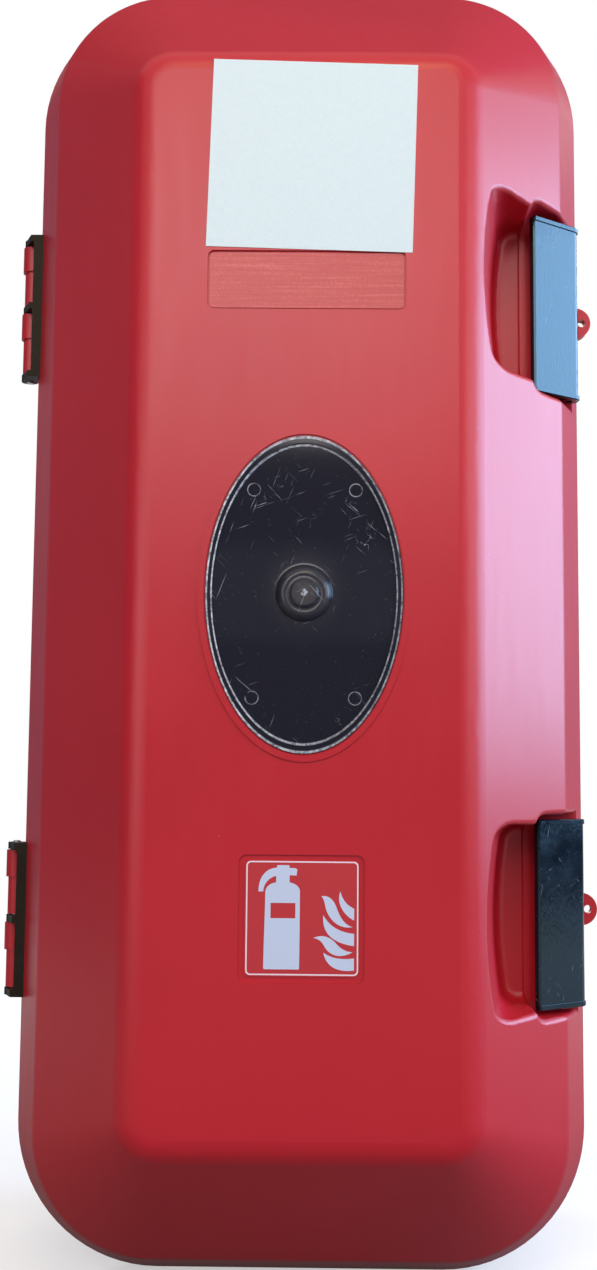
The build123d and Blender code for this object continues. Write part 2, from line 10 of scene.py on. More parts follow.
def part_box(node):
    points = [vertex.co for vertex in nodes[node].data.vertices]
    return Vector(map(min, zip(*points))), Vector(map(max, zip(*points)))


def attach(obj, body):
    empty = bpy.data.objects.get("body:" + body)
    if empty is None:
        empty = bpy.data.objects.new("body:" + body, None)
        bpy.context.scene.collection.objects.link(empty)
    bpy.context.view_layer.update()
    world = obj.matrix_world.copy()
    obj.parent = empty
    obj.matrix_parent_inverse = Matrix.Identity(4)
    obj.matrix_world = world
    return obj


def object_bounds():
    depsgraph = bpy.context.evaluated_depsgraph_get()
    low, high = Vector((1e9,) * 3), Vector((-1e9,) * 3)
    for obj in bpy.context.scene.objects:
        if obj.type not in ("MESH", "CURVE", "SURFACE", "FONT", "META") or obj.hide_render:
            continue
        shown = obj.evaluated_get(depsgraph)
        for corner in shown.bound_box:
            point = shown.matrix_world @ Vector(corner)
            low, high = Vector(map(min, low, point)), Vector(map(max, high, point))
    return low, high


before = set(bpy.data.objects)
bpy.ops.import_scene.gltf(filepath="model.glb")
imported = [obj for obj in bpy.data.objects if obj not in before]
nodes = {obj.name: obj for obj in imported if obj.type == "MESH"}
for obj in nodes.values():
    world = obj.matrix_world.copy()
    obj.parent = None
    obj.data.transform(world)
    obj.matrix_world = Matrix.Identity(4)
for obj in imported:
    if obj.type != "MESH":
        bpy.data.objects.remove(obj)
cad_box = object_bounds()
MM = 0.001
WHITE = (1, 1, 1, 1)

# A Mix node's sockets: its factor, two numbers and two colours, and its output for the mixed colour
FACTOR, NUMBER_A, NUMBER_B, COLOUR_A, COLOUR_B = 0, 2, 3, 6, 7
MIXED = 2

# The window's painted double highlight line along its edge, from its edge inwards
RIM_LINE = 0.6 * MM
RIM_GROOVE = 2.1 * MM
RIM_WIDTH = 2.9 * MM
RIM_BLUR = 0.2 * MM

# The window's boss, from its middle outwards
NUB_RADIUS = 1.9 * MM
BOSS_RADIUS = 6.5 * MM
BOSS_FOOT = 14 * MM
BOSS_SWEEP = 1.8 * MM
HALO_RADIUS = 26 * MM

# The four studs behind the window
STUD_SPACING_X = 46 * MM
STUD_SPACING_Z = 94 * MM
STUD_RADIUS = 2.9 * MM
STUD_LINE = 0.45 * MM


# Helpers

def colour(code):
    """A linear colour from an sRGB hex code."""
    parts = [int(code[i:i + 2], 16) / 255 for i in (0, 2, 4)]
    return tuple(c / 12.92 if c <= 0.04045 else ((c + 0.055) / 1.055) ** 2.4 for c in parts) + (1,)


def per(size):
    """A pattern's scale from the real size of its features, in millimetres."""
    return 1 / (size * MM)


def add(tree, kind, settings, links=None, out=0):
    """Add one node and give back one of its outputs, or the node itself where out is None.

    Settings are its properties or its sockets' values, and links feed its sockets.
    """
    node = tree.nodes.new("ShaderNode" + kind)
    for key, value in settings.items():
        if isinstance(key, str) and hasattr(node, key):
            setattr(node, key, value)
        else:
            node.inputs[key].default_value = value
    for key, socket in (links or {}).items():
        tree.links.new(socket, node.inputs[key])
    return node if out is None or not node.outputs else node.outputs[out]


def new_material(name):
    """An empty material, its tree and the object's own coordinates."""
    material = bpy.data.materials.new(name)
    material.use_nodes = True
    tree = material.node_tree
    tree.nodes.clear()
    return material, tree, add(tree, "TexCoord", {}, out="Object")


def dress(material, *names):
    """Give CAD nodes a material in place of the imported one."""
    for name in names:
        data = nodes[name].data
        data.materials.clear()
        data.materials.append(material)


def hairlines(tree, place, turns, length, width, cover):
    """A mask of straight scratches, turned by each of the turns about the front's normal.

    Their length and width are in millimetres, and cover is how many there are, from 0 to 1.
    """
    level = 0.8 - 0.2 * cover
    mask = None
    for turn in turns:
        turned = add(tree, "Mapping", {"Rotation": (0, turn, 0)}, {"Vector": place})
        drawn = add(tree, "Mapping", {"Scale": (per(length), per(length), per(width))}, {"Vector": turned})
        lines = add(tree, "TexNoise", {"Scale": 1, "Detail": 2}, {"Vector": drawn})
        line = add(tree, "MapRange", {"From Min": level, "From Max": level + 0.04}, {"Value": lines})
        mask = line if mask is None else add(tree, "Math", {"operation": "MAXIMUM"}, {0: mask, 1: line})
    return mask


def sight(tree):
    """Two masks: what is looked at, straight or through glass, and that with what gloss shows."""
    rays = add(tree, "LightPath", {}, out=None)
    looked_at = add(tree, "Math", {"operation": "MAXIMUM"}, {
        0: rays.outputs["Is Camera Ray"], 1: rays.outputs["Is Transmission Ray"],
    })
    seen = add(tree, "Math", {"operation": "MAXIMUM"}, {0: looked_at, 1: rays.outputs["Is Glossy Ray"]})
    return looked_at, seen


# Materials

def red_abs(name, base, deep, roughness):
    """Injection-moulded ABS: satin gloss with flow clouds, a faint orange peel, rub marks and dust."""
    material, tree, place = new_material(name)

    # Flow clouds about 160 mm across, which shift the red slightly
    clouds = add(tree, "TexNoise", {"Scale": per(160), "Detail": 3}, {"Vector": place})
    cloudy = add(tree, "MapRange", {"From Min": 0.3, "From Max": 0.7}, {"Value": clouds})
    red = add(tree, "Mix", {"data_type": "RGBA", COLOUR_A: colour(deep), COLOUR_B: colour(base)}, {
        FACTOR: cloudy,
    }, MIXED)

    # Dust: specks drawn 1.1 mm across so that they show, in patches 40 mm across
    specks = add(tree, "TexNoise", {"Scale": per(1.1), "Detail": 1}, {"Vector": place})
    specks = add(tree, "MapRange", {"From Min": 0.74, "From Max": 0.8, "To Max": 0.35}, {"Value": specks})
    patches = add(tree, "TexNoise", {"Scale": per(40), "Detail": 2}, {"Vector": place})
    patches = add(tree, "MapRange", {"From Min": 0.5, "From Max": 0.72}, {"Value": patches})
    dust = add(tree, "Math", {"operation": "MULTIPLY"}, {0: specks, 1: patches})
    red = add(tree, "Mix", {"data_type": "RGBA", COLOUR_B: colour("E0A6A6")}, {
        FACTOR: dust, COLOUR_A: red,
    }, MIXED)

    # Rub marks of 6 mm, long from top to bottom, vary the gloss
    drawn = add(tree, "Mapping", {"Scale": (1, 1, 0.15)}, {"Vector": place})
    rubs = add(tree, "TexNoise", {"Scale": per(6), "Detail": 4, "Roughness": 0.7}, {"Vector": drawn})
    rough = add(tree, "MapRange", {"To Min": roughness - 0.06, "To Max": roughness + 0.06}, {"Value": rubs})

    # Orange peel of 2.4 mm over slow waves of 70 mm
    peel = add(tree, "TexNoise", {"Scale": per(2.4), "Detail": 2}, {"Vector": place})
    normal = add(tree, "Bump", {"Strength": 0.12, "Distance": 0.12 * MM}, {"Height": peel})
    waves = add(tree, "TexNoise", {"Scale": per(70), "Detail": 1}, {"Vector": place})
    normal = add(tree, "Bump", {"Strength": 0.18, "Distance": 1.2 * MM}, {
        "Height": waves, "Normal": normal,
    })
    shader = add(tree, "BsdfPrincipled", {"IOR": 1.46}, {
        "Base Color": red, "Roughness": rough, "Normal": normal,
    })
    add(tree, "OutputMaterial", {}, {"Surface": shader})
    return material


def black_nylon(name, base, worn, gloss, roughness, scratched):
    """Injection-moulded black nylon: a fine grain, greyed where hands rub it, with fine scratches."""
    material, tree, place = new_material(name)

    # Rubbed patches about 16 mm across
    clouds = add(tree, "TexNoise", {"Scale": per(16), "Detail": 4, "Roughness": 0.6}, {"Vector": place})
    greyed = add(tree, "MapRange", {"From Min": 0.35, "From Max": 0.75}, {"Value": clouds})
    black = add(tree, "Mix", {"data_type": "RGBA", COLOUR_A: colour(base), COLOUR_B: colour(worn)}, {
        FACTOR: greyed,
    }, MIXED)

    # Scratches 15 mm long, drawn 0.4 mm wide so that they show, in patches 20 mm across
    lines = hairlines(tree, place, (0.5, -0.9, 1.35), 15, 0.4, 0.35)
    patches = add(tree, "TexNoise", {"Scale": per(20), "Detail": 2}, {"Vector": place})
    patches = add(tree, "MapRange", {"From Min": 0.48, "From Max": 0.6, "To Max": scratched}, {
        "Value": patches,
    })
    marks = add(tree, "Math", {"operation": "MULTIPLY"}, {0: lines, 1: patches})
    black = add(tree, "Mix", {"data_type": "RGBA", COLOUR_B: colour("96A2AE")}, {
        FACTOR: marks, COLOUR_A: black,
    }, MIXED)

    # The gloss varies with the rubbed patches and the scratches
    rough = add(tree, "MapRange", {"To Min": roughness - 0.1, "To Max": roughness + 0.1}, {"Value": clouds})
    rough = add(tree, "Math", {"operation": "MULTIPLY_ADD", 1: 0.2}, {0: marks, 2: rough})

    # Moulded grain of 0.9 mm, longer from top to bottom
    drawn = add(tree, "Mapping", {"Scale": (1, 1, 0.3)}, {"Vector": place})
    grain = add(tree, "TexNoise", {"Scale": per(0.9), "Detail": 3, "Roughness": 0.6}, {"Vector": drawn})
    normal = add(tree, "Bump", {"Strength": 0.8, "Distance": 0.12 * MM}, {"Height": grain})
    normal = add(tree, "Bump", {"Strength": 0.25, "Distance": 0.1 * MM}, {
        "Height": marks, "Normal": normal,
    })
    shader = add(tree, "BsdfPrincipled", {"IOR": 1.53, "Specular Tint": colour(gloss)}, {
        "Base Color": black, "Roughness": rough, "Normal": normal,
    })
    add(tree, "OutputMaterial", {}, {"Surface": shader})
    return material


def scuffed_acrylic(name, box):
    """Moulded clear acrylic over the dark inside: mirror gloss, painted highlights on the edge lines and the
    boss, fine scratches and curls.
    """
    material, tree, place = new_material(name)
    low, high = box
    centre = (low + high) / 2
    half = (high - low) / 2
    centred = add(tree, "Mapping", {"Location": (-centre.x, 0, -centre.z)}, {"Vector": place})
    parts = add(tree, "SeparateXYZ", {}, {"Vector": centred}, None)
    x, z = (add(tree, "Math", {"operation": "ABSOLUTE"}, {0: parts.outputs[axis]}) for axis in "XZ")

    # Distance inwards from the oval edge, in metres along X
    squashed = add(tree, "CombineXYZ", {}, {
        "X": x, "Z": add(tree, "Math", {"operation": "MULTIPLY", 1: half.x / half.z}, {0: z}),
    })
    out = add(tree, "VectorMath", {"operation": "LENGTH"}, {0: squashed}, "Value")
    inwards = add(tree, "Math", {"operation": "SUBTRACT", 0: half.x}, {1: out})
    rim = add(tree, "MapRange", {"From Min": RIM_WIDTH, "From Max": RIM_WIDTH - RIM_BLUR}, {
        "Value": inwards,
    })
    # Painted highlight: a pale line at the very edge and another inside the groove
    outer_line = add(tree, "MapRange", {"From Min": RIM_LINE + RIM_BLUR, "From Max": RIM_LINE}, {
        "Value": inwards,
    })
    inner_line = add(tree, "MapRange", {"From Min": RIM_GROOVE, "From Max": RIM_GROOVE + RIM_BLUR}, {
        "Value": inwards,
    })
    painted_rim_highlight = add(tree, "Math", {"operation": "MAXIMUM"}, {0: outer_line, 1: inner_line})

    # Rings where the four studs behind the window show through
    stud_x = add(tree, "Math", {"operation": "SUBTRACT", 1: STUD_SPACING_X / 2}, {0: x})
    stud_z = add(tree, "Math", {"operation": "SUBTRACT", 1: STUD_SPACING_Z / 2}, {0: z})
    stud = add(tree, "CombineXYZ", {}, {"X": stud_x, "Z": stud_z})
    stud = add(tree, "VectorMath", {"operation": "LENGTH"}, {0: stud}, "Value")
    ring = add(tree, "Math", {"operation": "COMPARE", 1: STUD_RADIUS, 2: STUD_LINE / 2}, {0: stud})
    broken = add(tree, "TexNoise", {"Scale": per(3.5), "Detail": 2}, {"Vector": place})
    broken = add(tree, "MapRange", {"From Min": 0.35, "From Max": 0.65}, {"Value": broken})
    ring = add(tree, "Math", {"operation": "MULTIPLY"}, {0: ring, 1: broken})

    # Scratches 22 mm long, drawn 0.7 mm wide so that they show, and curls 4 mm across, in patches
    # 17 mm across, and specks of 0.8 mm
    lines = hairlines(tree, place, (0.35, -0.7, 1.2, 2.3), 22, 0.7, 0.42)
    curls = add(tree, "TexNoise", {"Scale": per(4), "Detail": 1}, {"Vector": place})
    curls = add(tree, "Math", {"operation": "COMPARE", 1: 0.5, 2: 0.006}, {0: curls})
    patches = add(tree, "TexNoise", {"Scale": per(17), "Detail": 2}, {"Vector": place})
    few = add(tree, "MapRange", {"From Min": 0.66, "From Max": 0.74}, {"Value": patches})
    some = add(tree, "MapRange", {"From Min": 0.5, "From Max": 0.62}, {"Value": patches})
    curls = add(tree, "Math", {"operation": "MULTIPLY"}, {0: curls, 1: few})
    lines = add(tree, "Math", {"operation": "MULTIPLY"}, {0: lines, 1: some})
    specks = add(tree, "TexNoise", {"Scale": per(0.8), "Detail": 1}, {"Vector": place})
    specks = add(tree, "MapRange", {"From Min": 0.76, "From Max": 0.82, "To Max": 0.5}, {"Value": specks})
    marks = add(tree, "Math", {"operation": "MAXIMUM"}, {0: lines, 1: curls})
    marks = add(tree, "Math", {"operation": "MAXIMUM"}, {0: marks, 1: specks})
    marks = add(tree, "Math", {"operation": "MAXIMUM"}, {0: marks, 1: ring})

    # The boss's middle is painted paler as painted light in the clear boss, its nub gets a speckled painted
    # highlight, and polish wear round it spreads the gloss
    round_boss = add(tree, "VectorMath", {"operation": "LENGTH"}, {
        0: add(tree, "CombineXYZ", {}, {"X": x, "Z": z}),
    }, "Value")
    painted_boss_light = add(tree, "MapRange", {"From Min": BOSS_RADIUS, "From Max": NUB_RADIUS, "To Max": 0.35}, {
        "Value": round_boss,
    })
    # Painted highlight on the nub at the boss's middle, broken into specks
    painted_nub_highlight = add(tree, "MapRange", {"From Min": NUB_RADIUS, "From Max": 0.6 * NUB_RADIUS}, {
        "Value": round_boss,
    })
    nub_speckle = add(tree, "TexNoise", {"Scale": per(1.2), "Detail": 2}, {"Vector": place})
    nub_speckle = add(tree, "MapRange", {"From Min": 0.4, "From Max": 0.6}, {"Value": nub_speckle})
    painted_nub_highlight = add(tree, "Math", {"operation": "MULTIPLY"}, {0: painted_nub_highlight, 1: nub_speckle})
    worn = add(tree, "MapRange", {
        "From Min": HALO_RADIUS, "From Max": BOSS_RADIUS, "To Min": 0.06, "To Max": 0.3,
    }, {"Value": round_boss})
    rough = add(tree, "Math", {"operation": "MULTIPLY_ADD", 1: 0.3}, {0: marks, 2: worn})

    # The dark inside, paler where the boss's painted light and the nub's painted highlight fall, and where
    # the surface is marked
    dark = add(tree, "Mix", {"data_type": "RGBA", COLOUR_A: colour("21212B"), COLOUR_B: colour("55534B")}, {
        FACTOR: painted_boss_light,
    }, MIXED)
    dark = add(tree, "Mix", {"data_type": "RGBA", COLOUR_B: colour("C4C8D2")}, {
        FACTOR: painted_nub_highlight, COLOUR_A: dark,
    }, MIXED)
    shown = add(tree, "Math", {"operation": "MULTIPLY", 1: 0.62}, {0: marks})
    dark = add(tree, "Mix", {"data_type": "RGBA", COLOUR_B: colour("A9B2BC")}, {
        FACTOR: shown, COLOUR_A: dark,
    }, MIXED)

    # Painted highlight along the edge lines, in streaks of 2 mm, painted strongest on the left and weaker to
    # the right, as if light caught the left rim
    streaks = add(tree, "TexNoise", {"Scale": per(2), "Detail": 4, "Roughness": 0.7}, {"Vector": place})
    streaks = add(tree, "MapRange", {"From Min": 0.35, "From Max": 0.65}, {"Value": streaks})
    painted_edge_glint = add(tree, "Mix", {
        "data_type": "RGBA", COLOUR_A: colour("5A606C"), COLOUR_B: colour("F2F8FF"),
    }, {FACTOR: streaks}, MIXED)
    # Painted light: the edge lines are painted brighter on the left than on the right
    painted_left_light = add(tree, "MapRange", {
        "From Min": -half.x, "From Max": half.x, "To Min": 1, "To Max": 0.45,
    }, {"Value": parts.outputs["X"]})
    painted_rim_highlight = add(tree, "Math", {"operation": "MULTIPLY"}, {0: painted_rim_highlight, 1: painted_left_light})
    edge = add(tree, "Mix", {"data_type": "RGBA", COLOUR_A: colour("23232C")}, {
        FACTOR: painted_rim_highlight, COLOUR_B: painted_edge_glint,
    }, MIXED)
    skin = add(tree, "Mix", {"data_type": "RGBA"}, {FACTOR: rim, COLOUR_A: dark, COLOUR_B: edge}, MIXED)

    # The face sweeps up to the boss
    foot = add(tree, "MapRange", {
        "interpolation_type": "SMOOTHSTEP", "From Min": BOSS_FOOT, "From Max": BOSS_RADIUS,
    }, {"Value": round_boss})
    normal = add(tree, "Bump", {"Distance": BOSS_SWEEP}, {"Height": foot})
    shader = add(tree, "BsdfPrincipled", {"IOR": 1.46}, {
        "Base Color": skin, "Roughness": rough, "Normal": normal,
    })
    add(tree, "OutputMaterial", {}, {"Surface": shader})
    return material


def seal_rubber(name):
    """Extruded EPDM rubber: matt black with grey bloom in patches of 11 mm."""
    material, tree, place = new_material(name)
    bloom = add(tree, "TexNoise", {"Scale": per(11), "Detail": 4}, {"Vector": place})
    bloom = add(tree, "MapRange", {"From Min": 0.3, "From Max": 0.8}, {"Value": bloom})
    black = add(tree, "Mix", {"data_type": "RGBA", COLOUR_A: colour("17171A"), COLOUR_B: colour("2B2B2E")}, {
        FACTOR: bloom,
    }, MIXED)
    shader = add(tree, "BsdfPrincipled", {"IOR": 1.52, "Roughness": 0.75}, {"Base Color": black})
    add(tree, "OutputMaterial", {}, {"Surface": shader})
    return material


def plated_steel(name):
    """Zinc-plated steel pin, drawn along its length, so the gloss runs in fine lines."""
    material, tree, place = new_material(name)
    drawn = add(tree, "Mapping", {"Scale": (per(1), per(1), per(50))}, {"Vector": place})
    lines = add(tree, "TexNoise", {"Scale": 1, "Detail": 2}, {"Vector": drawn})
    rough = add(tree, "MapRange", {"To Min": 0.22, "To Max": 0.47}, {"Value": lines})
    shader = add(tree, "BsdfPrincipled", {"Base Color": colour("B4B6BA"), "Metallic": 1}, {
        "Roughness": rough,
    })
    add(tree, "OutputMaterial", {}, {"Surface": shader})
    return material


def printed_vinyl(name, ink):
    """Printed vinyl film, semi-gloss, with a fine print grain and a slight lift over the plastic."""
    material, tree, place = new_material(name)
    grain = add(tree, "TexNoise", {"Scale": per(0.4), "Detail": 1}, {"Vector": place})
    grain = add(tree, "MapRange", {"To Max": 0.03}, {"Value": grain})
    shade = add(tree, "Mix", {"data_type": "RGBA", COLOUR_A: colour(ink), COLOUR_B: WHITE}, {
        FACTOR: grain,
    }, MIXED)
    lift = add(tree, "TexNoise", {"Scale": per(3.3), "Detail": 2}, {"Vector": place})
    normal = add(tree, "Bump", {"Strength": 0.05, "Distance": 0.1 * MM}, {"Height": lift})
    shader = add(tree, "BsdfPrincipled", {"IOR": 1.5, "Roughness": 0.42}, {
        "Base Color": shade, "Normal": normal,
    })
    add(tree, "OutputMaterial", {}, {"Surface": shader})
    return material


def brushed_film(name):
    """Blank name panel: film brushed from side to side, in paler and darker reds."""
    material, tree, place = new_material(name)

    # Brush lines 45 mm long, drawn 0.9 mm wide so that they show, with a grain of 0.7 mm
    drawn = add(tree, "Mapping", {"Scale": (per(45), per(45), per(0.9))}, {"Vector": place})
    lines = add(tree, "TexNoise", {"Scale": 1, "Detail": 4, "Roughness": 0.7}, {"Vector": drawn})
    fine = add(tree, "TexNoise", {"Scale": per(0.7), "Detail": 2}, {"Vector": place})
    grain = add(tree, "Mix", {FACTOR: 0.35}, {NUMBER_A: lines, NUMBER_B: fine})
    low = add(tree, "MapRange", {"From Min": 0.2, "From Max": 0.55}, {"Value": grain})
    high = add(tree, "MapRange", {"From Min": 0.52, "From Max": 0.75}, {"Value": grain})
    shade = add(tree, "Mix", {"data_type": "RGBA", COLOUR_A: colour("B23A3A"), COLOUR_B: colour("C54A48")}, {
        FACTOR: low,
    }, MIXED)
    shade = add(tree, "Mix", {"data_type": "RGBA", COLOUR_B: colour("DC7A74")}, {
        FACTOR: high, COLOUR_A: shade,
    }, MIXED)
    normal = add(tree, "Bump", {"Strength": 0.15, "Distance": 0.1 * MM}, {"Height": grain})
    shader = add(tree, "BsdfPrincipled", {"IOR": 1.5, "Roughness": 0.42}, {
        "Base Color": shade, "Normal": normal,
    })
    add(tree, "OutputMaterial", {}, {"Surface": shader})
    return material


def coated_paper(name):
    """Blank stock label: coated paper, with faint fibres and a few soft creases."""
    material, tree, place = new_material(name)
    fibre = add(tree, "TexNoise", {"Scale": per(1.4), "Detail": 4, "Roughness": 0.7}, {"Vector": place})
    fibrous = add(tree, "MapRange", {"From Min": 0.3, "From Max": 0.7}, {"Value": fibre})
    white = add(tree, "Mix", {"data_type": "RGBA", COLOUR_A: colour("D6EAED"), COLOUR_B: colour("DCF0F2")}, {
        FACTOR: fibrous,
    }, MIXED)
    crease = add(tree, "TexNoise", {"Scale": per(45), "Detail": 2}, {"Vector": place})
    normal = add(tree, "Bump", {"Strength": 0.2, "Distance": 0.7 * MM}, {"Height": crease})
    normal = add(tree, "Bump", {"Strength": 0.08, "Distance": 0.1 * MM}, {
        "Height": fibre, "Normal": normal,
    })
    shader = add(tree, "BsdfPrincipled", {"IOR": 1.5, "Roughness": 0.55}, {
        "Base Color": white, "Normal": normal,
    })
    add(tree, "OutputMaterial", {}, {"Surface": shader})
    return material


lid_red = red_abs("lid_satin_red_abs", "C3202D", "B91A28", 0.34)
tray_red = red_abs("tray_satin_red_abs", "BB1D2A", "AE1824", 0.4)
hinge_black = black_nylon("hinge_black_nylon", "161411", "25221D", "948B78", 0.55, 0.15)
# The latch's pale blue gloss tint colours its reflections like the bluish light from the right: a painted
# reflection colour
latch_black = black_nylon("latch_black_nylon", "0D131D", "151D29", "BCEEFF", 0.14, 0.8)
saddle_black = black_nylon("saddle_black_nylon", "1A1A1B", "262627", "FFFFFF", 0.5, 0.1)
window_acrylic = scuffed_acrylic("window_scuffed_acrylic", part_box("window_lens"))
seal_black = seal_rubber("seal_epdm_rubber")
pin_steel = plated_steel("pin_zinc_plated_steel")
sign_red = printed_vinyl("sign_red_vinyl", "BC1C27")
sign_white = printed_vinyl("sign_pale_vinyl", "C9D8F0")
sign_edge = printed_vinyl("sign_edge_vinyl", "F2E4EC")
panel_film = brushed_film("panel_brushed_film")
label_paper = coated_paper("label_coated_paper")

dress(lid_red, "lid_shell")
dress(tray_red, "base_shell", "latch_bracket_upper", "latch_bracket_lower")
dress(hinge_black, "hinge_leaf_upper", "hinge_leaf_lower")
dress(latch_black, "latch_lever_upper", "latch_lever_lower")
dress(saddle_black, "bottle_saddle_upper", "bottle_saddle_lower", "window_retainer")
dress(window_acrylic, "window_lens")
dress(seal_black, "rim_seal", "window_gasket")
dress(pin_steel, "hinge_pin_upper", "hinge_pin_lower", "latch_pin_upper", "latch_pin_lower")
dress(sign_red, "sign_plate")
dress(panel_film, "name_panel")
dress(label_paper, "paper_label")


# Sign: the standard fire extinguisher pictogram, drawn in millimetres on a 50 mm square
# whose centre is (0, 0)

sign_low, sign_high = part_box("sign_plate")
SIGN_CENTRE = (sign_low + sign_high) / 2
SIGN_FRONT = sign_low.y
SIGN_DRAWN = 1.02 * MM
FILM = 0.04 * MM


def printed_shape(name, outlines, material, shift):
    """A thin printed film from closed outlines of (x, z) points, the later ones holes, moved by shift."""
    data = bpy.data.curves.new(name, "CURVE")
    data.dimensions = "2D"
    data.fill_mode = "BOTH"
    data.extrude = FILM / 2
    for points in outlines:
        spline = data.splines.new("POLY")
        spline.points.add(len(points) - 1)
        for point, (x, z) in zip(spline.points, points):
            point.co = (x * SIGN_DRAWN + shift[0] * MM, z * SIGN_DRAWN + shift[1] * MM, 0.0, 1.0)
        spline.use_cyclic_u = True
    made = bpy.data.objects.new(name, data)
    bpy.context.scene.collection.objects.link(made)
    mesh = bpy.data.meshes.new_from_object(made)
    bpy.data.objects.remove(made)
    mesh.transform(Matrix.Rotation(pi / 2, 4, "X"))
    mesh.transform(Matrix.Translation((SIGN_CENTRE.x, SIGN_FRONT - FILM / 2, SIGN_CENTRE.z)))
    piece = bpy.data.objects.new(name, mesh)
    bpy.context.scene.collection.objects.link(piece)
    mesh.materials.clear()
    mesh.materials.append(material)
    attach(piece, "lid")


def bezier(points, steps=10):
    """Points along a chain of cubic curves: start, then (handle, handle, end) for each."""
    path = [points[0]]
    for i in range(1, len(points), 3):
        a, b, c, d = path[-1], points[i], points[i + 1], points[i + 2]
        for k in range(1, steps + 1):
            t = k / steps
            u = 1 - t
            path.append(tuple(
                u ** 3 * a[n] + 3 * u * u * t * b[n] + 3 * u * t * t * c[n] + t ** 3 * d[n] for n in (0, 1)
            ))
    return path


def rounded_square(half, radius, steps=8):
    """Points round a square with rounded corners, from half its width and the corners' radius."""
    path = []
    flat = half - radius
    for side_x, side_z, start in ((1, 1, 0), (-1, 1, 90), (-1, -1, 180), (1, -1, 270)):
        for k in range(steps + 1):
            angle = radians(start + 90 * k / steps)
            path.append((side_x * flat + radius * cos(angle), side_z * flat + radius * sin(angle)))
    return path


# The border's outer edge and its inner one
BORDER = [rounded_square(24.2, 2.0), rounded_square(23.6, 1.5)]

# From the bottle's foot up its right side, over its shoulder, valve and hose, and down its left side
BOTTLE = (
    [(-16.7, -22.3), (-2.0, -22.3)]
    + bezier([(-1.6, -21.9), (-1.5, -10.0), (-1.5, 0.0), (-1.5, 10.8)])
    + bezier([(-1.5, 10.8), (-1.6, 12.8), (-3.6, 14.2), (-6.0, 14.5)])
    + [(-6.0, 17.6), (-3.0, 17.5), (-2.7, 20.0), (-3.4, 20.6)]
    + [(-6.0, 20.7), (-6.2, 21.9), (-11.3, 21.9), (-11.5, 20.8)]
    + bezier([(-11.5, 20.8), (-15.5, 20.6), (-19.4, 17.6), (-19.4, 10.6)])
    + [(-17.3, 10.6)]
    + bezier([(-17.3, 10.6), (-17.2, 14.0), (-14.8, 16.6), (-11.8, 17.3)])
    + [(-11.8, 14.5)]
    + bezier([(-11.8, 14.5), (-14.2, 14.2), (-16.3, 12.8), (-16.4, 10.4)])
    + bezier([(-16.4, 10.4), (-16.5, 0.0), (-16.9, -10.0), (-17.0, -21.9)])
)
BOTTLE_BAND = [(-14.1, -0.7), (-3.4, -0.7), (-3.4, 5.8), (-14.1, 5.8)]

# From the highest flame down
FLAMES = [
    bezier([(16.1, 10.8), (16.9, 7.4), (18.8, 4.9), (22.1, 3.4),
            (22.1, 1.5), (22.1, 0.2), (22.1, -1.6),
            (17.6, 0.6), (14.2, 5.6), (16.1, 10.8)]),
    bezier([(7.9, 8.6), (11.2, 9.2), (13.2, 7.2), (14.5, 3.9),
            (15.8, 0.4), (17.6, -3.6), (21.6, -4.4),
            (14.9, -5.6), (10.6, -0.6), (9.6, 4.6),
            (9.3, 6.4), (8.8, 7.7), (7.9, 8.6)]),
    bezier([(8.8, 0.6), (11.4, -3.8), (15.2, -6.6), (22.1, -7.2),
            (22.1, -9.0), (22.1, -10.6), (22.1, -12.4),
            (13.6, -11.4), (8.0, -7.6), (8.8, 0.6)]),
    bezier([(4.6, -9.2), (8.0, -7.4), (11.8, -8.4), (14.2, -11.2),
            (16.4, -13.8), (18.8, -14.9), (21.5, -15.0),
            (16.2, -18.2), (11.2, -16.4), (9.2, -12.4),
            (8.2, -10.4), (6.6, -9.4), (4.6, -9.2)]),
    bezier([(8.9, -15.2), (12.6, -18.0), (17.4, -18.2), (22.1, -17.6),
            (22.1, -19.4), (22.1, -21.0), (22.1, -22.7),
            (15.4, -23.6), (10.2, -21.6), (8.9, -15.2)]),
]

printed_shape("sign_border", BORDER, sign_edge, (0.3, 0.3))
printed_shape("sign_bottle", [BOTTLE, BOTTLE_BAND], sign_white, (0.8, 0.9))
for number, outline in enumerate(FLAMES, 1):
    printed_shape("sign_flame_%d" % number, [outline], sign_white, (0.6, 1.1))


# Stage, light and camera

FLOOR_GAP = 2 * MM
FLOOR_REACH = 9
ROOM_TOP = 1.3
CEILING = 1.35
FRONT_WALL = ((-0.9, -2.6), (0.9, -2.6))
ROOM_GREY = (0.27, 0.27, 0.28, 1)
LID_MIDDLE = (0.0, -0.2, 0.0)


def pale_floor(name):
    """Pale floor: white far off, and near the cabinet a little greyer, so that its shadow shows."""
    material, tree, place = new_material(name)
    looked_at, seen = sight(tree)
    away = add(tree, "VectorMath", {"operation": "LENGTH"}, {0: place}, "Value")
    far = add(tree, "MapRange", {"From Min": 0.25, "From Max": 1.5}, {"Value": away})
    far = add(tree, "Math", {"operation": "MULTIPLY"}, {0: far, 1: seen})
    near = add(tree, "Math", {"operation": "MULTIPLY", 1: 0.5}, {0: looked_at})
    lift = add(tree, "Math", {"operation": "MAXIMUM"}, {0: far, 1: near})
    shade = add(tree, "Mix", {"data_type": "RGBA", COLOUR_A: colour("707070"), COLOUR_B: WHITE}, {
        FACTOR: looked_at,
    }, MIXED)
    matt = add(tree, "BsdfDiffuse", {}, {"Color": shade})
    white = add(tree, "Emission", {"Color": WHITE})
    add(tree, "OutputMaterial", {}, {"Surface": add(tree, "MixShader", {}, {0: lift, 1: matt, 2: white})})
    return material


